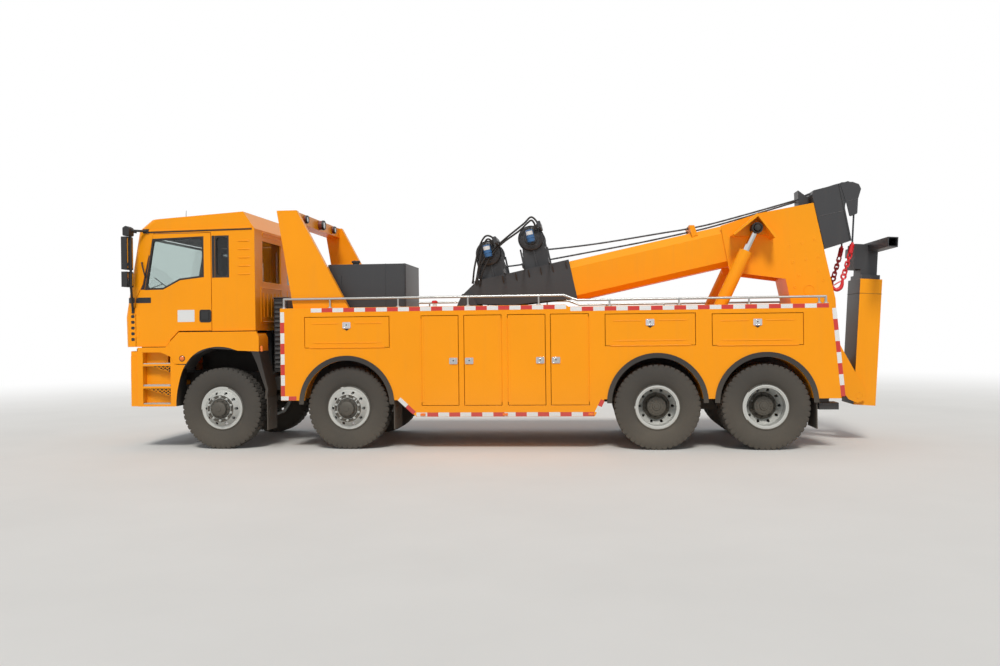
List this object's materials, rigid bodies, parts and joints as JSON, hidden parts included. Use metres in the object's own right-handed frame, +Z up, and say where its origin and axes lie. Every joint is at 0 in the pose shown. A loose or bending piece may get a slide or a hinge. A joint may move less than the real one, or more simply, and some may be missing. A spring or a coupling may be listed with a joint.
{
  "type": "tow truck",
  "caption": "Heavy tow truck with a tilting cab, side cabinets, a sloping boom with winches, a folding underlift and chains hooked to the boom's column.",
  "frame": {"origin": "on the ground, under the centre of the bounding box", "axes": "+X forward, along the longest side; +Y to the truck's left; +Z up"},
  "size_m": [10.5332, 2.9, 3.6129],
  "materials": {
    "tyre": "worn rubber",
    "rim_silver": "satin silver",
    "running_gear": "dull black",
    "chassis_black": "satin black",
    "body_orange": "gloss",
    "cab_trim": "matte",
    "glass": "clear",
    "lamp": "glossy",
    "mirror_black": "matte",
    "rail_steel": "brushed",
    "deck_orange": "worn paint",
    "chrome": "polished",
    "red": "worn paint"
  },
  "bodies": {
    "chassis": {"frame": "chassis_black", "axles_and_engine": "running_gear", "bumper": "body_orange", "lamps": "lamp", "cabinet_l": "body_orange", "cabinet_r": "body_orange", "deck_and_gantry": "deck_orange", "deck_rails": "rail_steel", "fenders": "body_orange", "oil_tank": "chassis_black"},
    "cab": {"cab_shell": "body_orange", "cab_glass": "glass", "cab_interior": "cab_trim", "mirrors": "mirror_black"},
    "boom_assembly": {"boom": "body_orange", "winches": "chassis_black", "hooks": "red"},
    "inner_boom": {"boom_inner": "chassis_black"},
    "lift_barrel_pair": {"lift_barrels": "body_orange"},
    "lift_rod_pair": {"lift_rods": "chrome"},
    "underlift": {"underlift_mast": "body_orange"},
    "underlift_slider": {"underlift_head": "chassis_black"},
    "cab_door_left": {"cab_door_l": "body_orange"},
    "cab_door_right": {"cab_door_r": "body_orange"},
    "knuckle_body_1l": {"knuckle_1l": "running_gear"},
    "knuckle_body_2l": {"knuckle_2l": "running_gear"},
    "wheel_1l": {"tyre_1l": "tyre", "rim_1l": "rim_silver"},
    "wheel_2l": {"tyre_2l": "tyre", "rim_2l": "rim_silver"},
    "wheel_3l": {"tyre_3l": "tyre", "rim_3l": "rim_silver"},
    "wheel_4l": {"tyre_4l": "tyre", "rim_4l": "rim_silver"},
    "knuckle_body_1r": {"knuckle_1r": "running_gear"},
    "knuckle_body_2r": {"knuckle_2r": "running_gear"},
    "wheel_1r": {"tyre_1r": "tyre", "rim_1r": "rim_silver"},
    "wheel_2r": {"tyre_2r": "tyre", "rim_2r": "rim_silver"},
    "wheel_3r": {"tyre_3r": "tyre", "rim_3r": "rim_silver"},
    "wheel_4r": {"tyre_4r": "tyre", "rim_4r": "rim_silver"},
    "door_1_l_leaf": {"door_1_l": "body_orange"},
    "door_1_r_leaf": {"door_1_r": "body_orange"},
    "door_2_l_leaf": {"door_2_l": "body_orange"},
    "door_2_r_leaf": {"door_2_r": "body_orange"},
    "door_3_l_leaf": {"door_3_l": "body_orange"},
    "door_3_r_leaf": {"door_3_r": "body_orange"},
    "door_4_l_leaf": {"door_4_l": "body_orange"},
    "door_4_r_leaf": {"door_4_r": "body_orange"},
    "hatch_1_l_leaf": {"hatch_1_l": "body_orange"},
    "hatch_1_r_leaf": {"hatch_1_r": "body_orange"},
    "hatch_2_l_leaf": {"hatch_2_l": "body_orange"},
    "hatch_2_r_leaf": {"hatch_2_r": "body_orange"},
    "hatch_3_l_leaf": {"hatch_3_l": "body_orange"},
    "hatch_3_r_leaf": {"hatch_3_r": "body_orange"},
    "stabiliser_leg_l": {"stabiliser_l": "chassis_black"},
    "stabiliser_leg_r": {"stabiliser_r": "chassis_black"}
  },
  "joints": [
    {"name": "cab_tilt", "type": "hinge", "parent": "chassis", "child": "cab", "pos_m": [5.11, 0, 1.24], "axis": [0, 1, 0], "range_deg": [0, 60]},
    {"name": "cab_door_l", "type": "hinge", "parent": "cab", "child": "cab_door_left", "pos_m": [5.071, 1.205, 1.765], "axis": [0, 0, -1], "range_deg": [0, 70]},
    {"name": "cab_door_r", "type": "hinge", "parent": "cab", "child": "cab_door_right", "pos_m": [5.071, -1.205, 1.765], "axis": [0, 0, 1], "range_deg": [0, 70]},
    {"name": "steer_1l", "type": "hinge", "parent": "chassis", "child": "knuckle_body_1l", "pos_m": [3.86, 0.89, 0.5625], "axis": [0, 0, 1], "range_deg": [-33, 33]},
    {"name": "steer_2l", "type": "hinge", "parent": "chassis", "child": "knuckle_body_2l", "pos_m": [2.06, 0.89, 0.5625], "axis": [0, 0, 1], "range_deg": [-24, 24]},
    {"name": "roll_1l", "type": "hinge", "parent": "knuckle_body_1l", "child": "wheel_1l", "pos_m": [3.86, 1.03, 0.5625], "axis": [0, 1, 0], "continuous": true},
    {"name": "roll_2l", "type": "hinge", "parent": "knuckle_body_2l", "child": "wheel_2l", "pos_m": [2.06, 1.03, 0.5625], "axis": [0, 1, 0], "continuous": true},
    {"name": "roll_3l", "type": "hinge", "parent": "chassis", "child": "wheel_3l", "pos_m": [-2.115, 0.92, 0.5625], "axis": [0, 1, 0], "continuous": true},
    {"name": "roll_4l", "type": "hinge", "parent": "chassis", "child": "wheel_4l", "pos_m": [-3.515, 0.92, 0.5625], "axis": [0, 1, 0], "continuous": true},
    {"name": "steer_1r", "type": "hinge", "parent": "chassis", "child": "knuckle_body_1r", "pos_m": [3.86, -0.89, 0.5625], "axis": [0, 0, 1], "range_deg": [-33, 33]},
    {"name": "steer_2r", "type": "hinge", "parent": "chassis", "child": "knuckle_body_2r", "pos_m": [2.06, -0.89, 0.5625], "axis": [0, 0, 1], "range_deg": [-24, 24]},
    {"name": "roll_1r", "type": "hinge", "parent": "knuckle_body_1r", "child": "wheel_1r", "pos_m": [3.86, -1.03, 0.5625], "axis": [0, 1, 0], "continuous": true},
    {"name": "roll_2r", "type": "hinge", "parent": "knuckle_body_2r", "child": "wheel_2r", "pos_m": [2.06, -1.03, 0.5625], "axis": [0, 1, 0], "continuous": true},
    {"name": "roll_3r", "type": "hinge", "parent": "chassis", "child": "wheel_3r", "pos_m": [-2.115, -0.92, 0.5625], "axis": [0, 1, 0], "continuous": true},
    {"name": "roll_4r", "type": "hinge", "parent": "chassis", "child": "wheel_4r", "pos_m": [-3.515, -0.92, 0.5625], "axis": [0, 1, 0], "continuous": true},
    {"name": "door_1_l_hinge", "type": "hinge", "parent": "chassis", "child": "door_1_l_leaf", "pos_m": [1.0215, 1.255, 1.205], "axis": [0, 0, -1], "range_deg": [0, 90]},
    {"name": "door_1_r_hinge", "type": "hinge", "parent": "chassis", "child": "door_1_r_leaf", "pos_m": [1.0215, -1.255, 1.205], "axis": [0, 0, 1], "range_deg": [0, 90]},
    {"name": "door_2_l_hinge", "type": "hinge", "parent": "chassis", "child": "door_2_l_leaf", "pos_m": [-0.0615, 1.255, 1.205], "axis": [0, 0, 1], "range_deg": [0, 90]},
    {"name": "door_2_r_hinge", "type": "hinge", "parent": "chassis", "child": "door_2_r_leaf", "pos_m": [-0.0615, -1.255, 1.205], "axis": [0, 0, -1], "range_deg": [0, 90]},
    {"name": "door_3_l_hinge", "type": "hinge", "parent": "chassis", "child": "door_3_l_leaf", "pos_m": [-0.1455, 1.255, 1.205], "axis": [0, 0, -1], "range_deg": [0, 90]},
    {"name": "door_3_r_hinge", "type": "hinge", "parent": "chassis", "child": "door_3_r_leaf", "pos_m": [-0.1455, -1.255, 1.205], "axis": [0, 0, 1], "range_deg": [0, 90]},
    {"name": "door_4_l_hinge", "type": "hinge", "parent": "chassis", "child": "door_4_l_leaf", "pos_m": [-1.2225, 1.255, 1.205], "axis": [0, 0, 1], "range_deg": [0, 90]},
    {"name": "door_4_r_hinge", "type": "hinge", "parent": "chassis", "child": "door_4_r_leaf", "pos_m": [-1.2225, -1.255, 1.205], "axis": [0, 0, -1], "range_deg": [0, 90]},
    {"name": "hatch_1_l_hinge", "type": "hinge", "parent": "chassis", "child": "hatch_1_l_leaf", "pos_m": [2.048, 1.255, 1.391], "axis": [-1, 0, 0], "range_deg": [0, 90]},
    {"name": "hatch_1_r_hinge", "type": "hinge", "parent": "chassis", "child": "hatch_1_r_leaf", "pos_m": [2.048, -1.255, 1.391], "axis": [1, 0, 0], "range_deg": [0, 90]},
    {"name": "hatch_2_l_hinge", "type": "hinge", "parent": "chassis", "child": "hatch_2_l_leaf", "pos_m": [-2.028, 1.255, 1.381], "axis": [-1, 0, 0], "range_deg": [0, 90]},
    {"name": "hatch_2_r_hinge", "type": "hinge", "parent": "chassis", "child": "hatch_2_r_leaf", "pos_m": [-2.028, -1.255, 1.381], "axis": [1, 0, 0], "range_deg": [0, 90]},
    {"name": "hatch_3_l_hinge", "type": "hinge", "parent": "chassis", "child": "hatch_3_l_leaf", "pos_m": [-3.409, 1.255, 1.371], "axis": [-1, 0, 0], "range_deg": [0, 90]},
    {"name": "hatch_3_r_hinge", "type": "hinge", "parent": "chassis", "child": "hatch_3_r_leaf", "pos_m": [-3.409, -1.255, 1.371], "axis": [1, 0, 0], "range_deg": [0, 90]},
    {"name": "boom_lift", "type": "hinge", "parent": "chassis", "child": "boom_assembly", "pos_m": [0.51, 0, 2.06], "axis": [0, 1, 0], "range_deg": [0, 15]},
    {"name": "boom_extend", "type": "slide", "parent": "boom_assembly", "child": "inner_boom", "axis": [-0.9781, 0, 0.2079], "range_m": [0, 2]},
    {"name": "barrel_swing", "type": "hinge", "parent": "chassis", "child": "lift_barrel_pair", "pos_m": [-2.68, 0, 1.16], "axis": [0, 1, 0], "range_deg": [0, 16.3]},
    {"name": "rod_slide", "type": "slide", "parent": "lift_barrel_pair", "child": "lift_rod_pair", "axis": [-0.4275, 0, 0.904], "range_m": [0, 0.87]},
    {"name": "mast_fold", "type": "hinge", "parent": "boom_assembly", "child": "underlift", "pos_m": [-4.93, 0, 0.64], "axis": [0, -1, 0], "range_deg": [0, 90]},
    {"name": "head_extend", "type": "slide", "parent": "underlift", "child": "underlift_slider", "axis": [-0.0628, 0, 0.998], "range_m": [0, 1.2]},
    {"name": "stabiliser_l_down", "type": "slide", "parent": "chassis", "child": "stabiliser_leg_l", "axis": [0, 0, -1], "range_m": [0, 0.51]},
    {"name": "stabiliser_r_down", "type": "slide", "parent": "chassis", "child": "stabiliser_leg_r", "axis": [0, 0, -1], "range_m": [0, 0.51]}
  ],
  "couplings": [
    {"joint": "steer_1r", "follows": "steer_1l", "ratio": 1},
    {"joint": "steer_2l", "follows": "steer_1l", "ratio": 0.7},
    {"joint": "steer_2r", "follows": "steer_1l", "ratio": 0.7},
    {"joint": "barrel_swing", "follows": "boom_lift", "ratio": 1.0696},
    {"joint": "rod_slide", "follows": "boom_lift", "m_per_rad": 3.2946}
  ]
}
